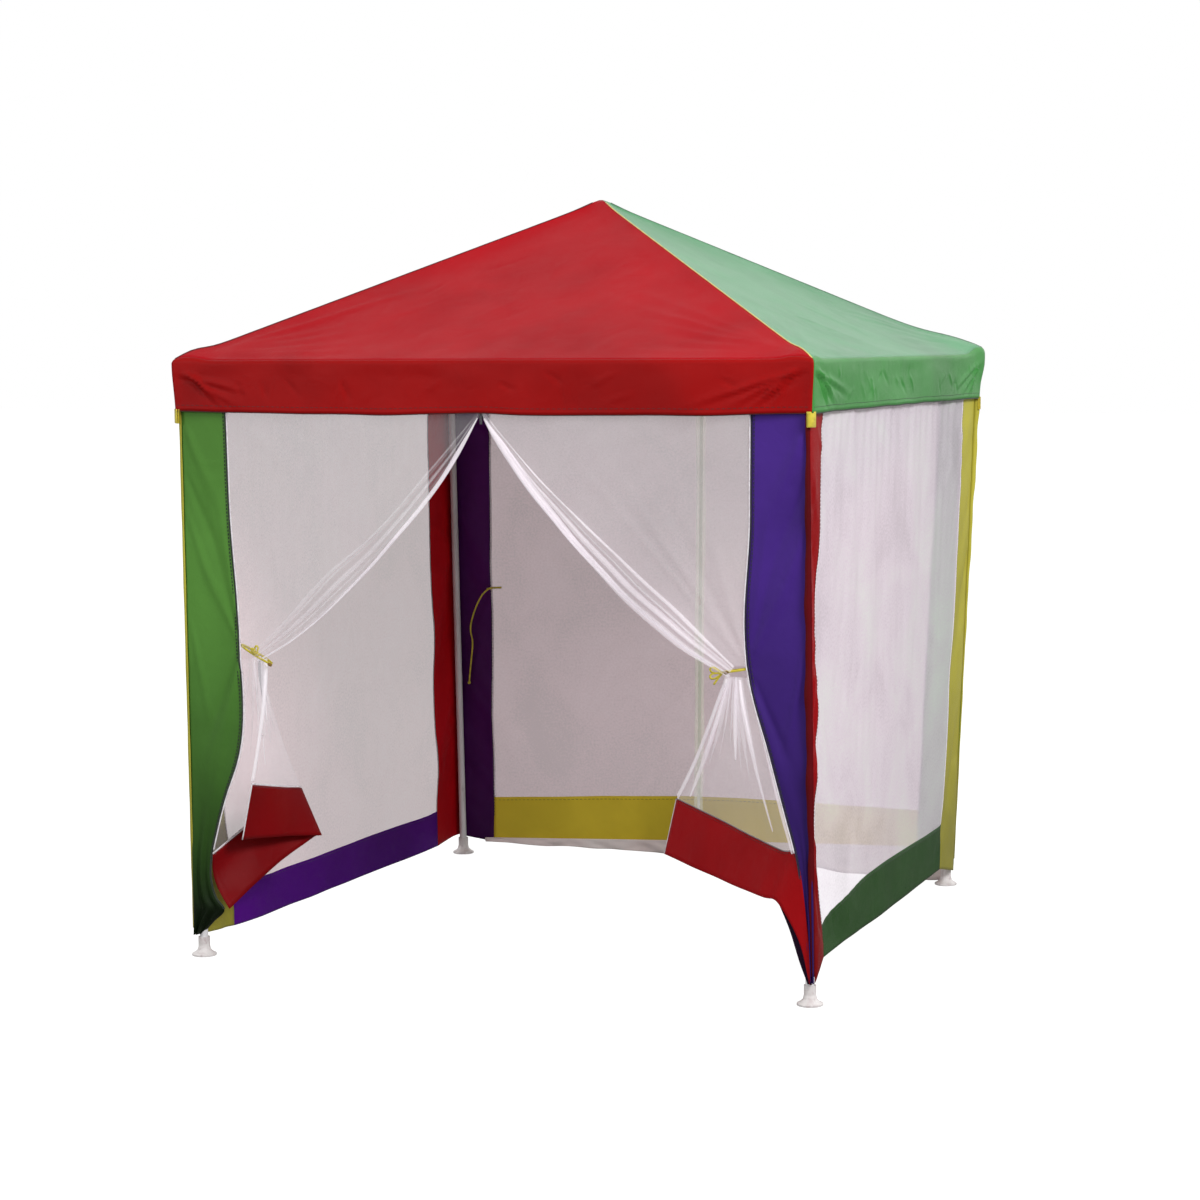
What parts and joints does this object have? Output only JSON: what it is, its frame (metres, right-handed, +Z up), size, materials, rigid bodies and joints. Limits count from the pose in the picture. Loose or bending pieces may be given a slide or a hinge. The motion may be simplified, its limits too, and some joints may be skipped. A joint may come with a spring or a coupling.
{
  "type": "screen house",
  "caption": "Square garden screen house: plug-together tube frame, four-panel pyramid canopy with valance, zipped net walls with solid corner strips and hems, front door tied open.",
  "frame": {"origin": "on the ground under the peak, at the centre of the plan", "axes": "+Z up to the peak; the front wall with the open door faces -Y, the right wall faces +X"},
  "size_m": [2.02, 2, 2.324],
  "materials": {
    "white_steel": "white powder coat, satin",
    "white_plastic": "moulded white plastic",
    "red_polyester": "satin woven polyester",
    "green_polyester": "satin woven polyester",
    "purple_polyester": "satin woven polyester",
    "yellow_polyester": "satin woven polyester",
    "white_net": "fine white mosquito net",
    "yellow_tape": "narrow woven tape",
    "zip_coil": "nylon coil on grey tape",
    "zip_metal": "dark painted die cast"
  },
  "bodies": {
    "frame_and_cloth": {"back_door_hem_left": "yellow_polyester", "back_door_hem_right": "yellow_polyester", "back_door_net_left": "white_net", "back_door_net_right": "white_net", "back_tie_cord": "yellow_tape", "back_wall_strip_left": "purple_polyester", "back_wall_strip_right": "green_polyester", "back_zip_chain": "zip_coil", "corner_connector_back_left": "white_plastic", "corner_connector_back_right": "white_plastic", "corner_connector_front_left": "white_plastic", "corner_connector_front_right": "white_plastic", "door_left_net_upper": "white_net", "door_left_tie": "yellow_tape", "door_right_net_upper": "white_net", "door_right_tie": "yellow_tape", "eave_rail_back": "white_steel", "eave_rail_front": "white_steel", "eave_rail_left": "white_steel", "eave_rail_right": "white_steel", "foot_back_left": "white_plastic", "foot_back_right": "white_plastic", "foot_front_left": "white_plastic", "foot_front_right": "white_plastic", "front_wall_strip_left": "green_polyester", "front_wall_strip_right": "purple_polyester", "front_zip_chain": "zip_coil", "front_zip_slider": "zip_metal", "left_wall_hem": "purple_polyester", "left_wall_net": "white_net", "left_wall_strip_back": "red_polyester", "left_wall_strip_front": "yellow_polyester", "leg_back_left": "white_steel", "leg_back_right": "white_steel", "leg_front_left": "white_steel", "leg_front_right": "white_steel", "peak_hub": "white_plastic", "rafter_back_left": "white_steel", "rafter_back_right": "white_steel", "rafter_front_left": "white_steel", "rafter_front_right": "white_steel", "right_wall_hem": "green_polyester", "right_wall_net": "white_net", "right_wall_strip_back": "yellow_polyester", "right_wall_strip_front": "red_polyester", "roof_back": "yellow_polyester", "roof_front": "red_polyester", "roof_left": "purple_polyester", "roof_right": "green_polyester", "valance_back": "yellow_polyester", "valance_front": "red_polyester", "valance_left": "purple_polyester", "valance_right": "green_polyester"},
    "back_slider": {"back_zip_slider": "zip_metal"},
    "back_pull": {"back_zip_pull": "zip_metal"},
    "front_pull": {"front_zip_pull": "zip_metal"},
    "door_left": {"door_left_net_tail": "white_net", "door_left_hem": "red_polyester"},
    "door_right": {"door_right_net_tail": "white_net", "door_right_hem": "red_polyester"}
  },
  "joints": [
    {"name": "back_zip_slide", "type": "slide", "parent": "frame_and_cloth", "child": "back_slider", "axis": [0, 0.0265, 0.9996], "range_m": [0, 1.52]},
    {"name": "back_zip_pull_swing", "type": "hinge", "parent": "back_slider", "child": "back_pull", "pos_m": [0, 0.935, 0.104], "axis": [1, 0, 0], "range_deg": [-150, 0]},
    {"name": "front_zip_pull_swing", "type": "hinge", "parent": "frame_and_cloth", "child": "front_pull", "pos_m": [0, -0.98852, 1.668], "axis": [1, 0, 0], "range_deg": [-90, 0]},
    {"name": "door_left_swing", "type": "hinge", "parent": "frame_and_cloth", "child": "door_left", "pos_m": [-0.935, -0.94, 0.4], "axis": [0, 0, 1], "range_deg": [-4, 12]},
    {"name": "door_right_swing", "type": "hinge", "parent": "frame_and_cloth", "child": "door_right", "pos_m": [0.935, -0.94, 0.4], "axis": [0, 0, 1], "range_deg": [-15, 15]}
  ]
}
